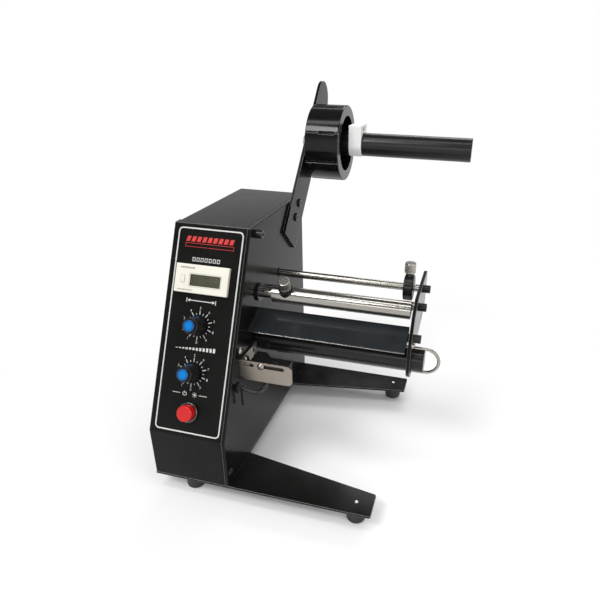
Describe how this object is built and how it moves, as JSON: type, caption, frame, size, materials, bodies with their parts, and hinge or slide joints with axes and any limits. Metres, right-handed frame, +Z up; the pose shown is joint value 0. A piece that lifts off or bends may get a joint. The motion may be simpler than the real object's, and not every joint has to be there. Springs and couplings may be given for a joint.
{
  "type": "label dispenser machine",
  "caption": "Desktop label dispenser with a sloped control panel, a roll arm and roller, guide rods, an inclined peel plate and a driven rewind shaft with a wire clip.",
  "frame": {"origin": "middle of the footprint on the table, under the feet", "axes": "+X right along the rollers, +Y to the back, +Z up; the control panel faces -Y"},
  "size_m": [0.234, 0.293, 0.3257],
  "materials": {
    "black_paint": "semi-gloss black powder paint",
    "panel_film": "glossy black panel film with a white border line",
    "black_anodised": "black anodised, satin",
    "chrome": "polished",
    "bright_steel": "fine brushed",
    "bracket_steel": "brushed, warm",
    "ivory_plastic": "satin",
    "display_glass": "clear over a grey display",
    "black_plastic": "moulded, satin",
    "blue_plastic": "moulded, glossy",
    "red_plastic": "moulded, glossy",
    "white_plastic": "moulded, satin",
    "black_rubber": "matte",
    "wheel_plastic": "moulded, satin black",
    "black_gloss": "smooth, glossy black",
    "cable_sheath": "smooth",
    "brass": "turned",
    "steel": "turned",
    "gear_plastic": "moulded",
    "board_green": "lacquered board",
    "zinc": "zinc plated"
  },
  "bodies": {
    "frame": {"base_plate": "black_paint", "rubber_feet": "black_rubber", "foot_screws": "bright_steel", "frame_wall": "black_paint", "cover": "black_paint", "front_panel": "panel_film", "counter_bezel": "ivory_plastic", "counter_window": "display_glass", "counter_body": "black_plastic", "length_pot": "zinc", "speed_pot": "zinc", "hex_nuts": "zinc", "button_bezel": "chrome", "switch_body": "black_plastic", "roll_arm": "black_paint", "roller_axle": "steel", "guide_rod": "chrome", "tie_rod": "chrome", "guide_bar": "chrome", "rod_collars": "black_anodised", "peel_plate": "black_paint", "outer_plate": "black_paint", "black_screws": "black_anodised", "rewind_bearing": "black_plastic", "gearbox": "zinc", "rewind_motor": "zinc", "motor_bracket": "zinc", "control_board": "board_green", "board_parts": "black_plastic", "board_standoffs": "brass", "power_gland": "black_plastic", "sensor_bracket": "bracket_steel", "label_sensor": "black_plastic", "chrome_screws": "chrome", "sensor_cable": "cable_sheath", "cable_grommet": "black_rubber", "cable_tie": "black_plastic"},
    "length_dial": {"length_knob": "black_plastic", "length_knob_cap": "blue_plastic", "length_pot_shaft": "steel"},
    "speed_dial": {"speed_knob": "black_plastic", "speed_knob_cap": "blue_plastic", "speed_pot_shaft": "steel"},
    "button": {"power_button": "red_plastic"},
    "roll": {"core_wheel": "wheel_plastic", "roller_tube": "black_gloss", "roller_bushings": "black_plastic"},
    "fixator": {"roll_fixator": "white_plastic"},
    "ring": {"ring_guide": "black_anodised"},
    "ring_screw": {"ring_thumb_screw": "bright_steel"},
    "tube": {"guide_tube": "chrome", "saddle_washer": "black_plastic"},
    "tube_screw": {"tube_thumb_screw": "bright_steel"},
    "rewind": {"rewind_shaft": "black_anodised", "rewind_gear": "gear_plastic", "shaft_screw": "bright_steel"},
    "wire_clip": {"rewind_clip": "chrome"},
    "pinion": {"motor_pinion": "steel", "motor_shaft": "steel"}
  },
  "joints": [
    {"name": "length_turn", "type": "hinge", "parent": "frame", "child": "length_dial", "pos_m": [-0.08375, -0.10457, 0.14634], "axis": [0, -0.8994, 0.437], "range_deg": [-150, 150]},
    {"name": "speed_turn", "type": "hinge", "parent": "frame", "child": "speed_dial", "pos_m": [-0.08375, -0.12184, 0.11081], "axis": [0, -0.8994, 0.437], "range_deg": [-150, 150]},
    {"name": "button_press", "type": "slide", "parent": "frame", "child": "button", "axis": [0, -0.8994, 0.437], "range_m": [-0.0024, 0], "stiffness_N_per_m": 600, "springref_m": 0.001},
    {"name": "roll_spin", "type": "hinge", "parent": "frame", "child": "roll", "pos_m": [-0.04785, 0.09235, 0.26884], "axis": [1, 0, 0], "continuous": true},
    {"name": "fixator_slide", "type": "slide", "parent": "roll", "child": "fixator", "axis": [1, 0, 0], "range_m": [-0.0045, 0.105]},
    {"name": "ring_slide", "type": "slide", "parent": "frame", "child": "ring", "axis": [1, 0, 0], "range_m": [-0.112, 0.005]},
    {"name": "ring_screw_turn", "type": "hinge", "parent": "ring", "child": "ring_screw", "pos_m": [0.0774, -0.00941, 0.1612], "axis": [0, 0, 1], "range_deg": [-720, 0]},
    {"name": "tube_slide", "type": "slide", "parent": "frame", "child": "tube", "axis": [1, 0, 0], "range_m": [-0.0095, 0.001]},
    {"name": "tube_screw_turn", "type": "hinge", "parent": "tube", "child": "tube_screw", "pos_m": [-0.02145, -0.05941, 0.1623], "axis": [0, -0.454, 0.891], "range_deg": [-720, 0]},
    {"name": "rewind_spin", "type": "hinge", "parent": "frame", "child": "rewind", "pos_m": [0.10085, -0.06291, 0.1188], "axis": [1, 0, 0], "continuous": true},
    {"name": "clip_pull", "type": "slide", "parent": "rewind", "child": "wire_clip", "axis": [1, 0, 0], "range_m": [0, 0.13]},
    {"name": "pinion_spin", "type": "hinge", "parent": "frame", "child": "pinion", "pos_m": [-0.06605, -0.02691, 0.1188], "axis": [1, 0, 0], "continuous": true}
  ],
  "couplings": [
    {"joint": "pinion_spin", "follows": "rewind_spin", "ratio": -2}
  ]
}
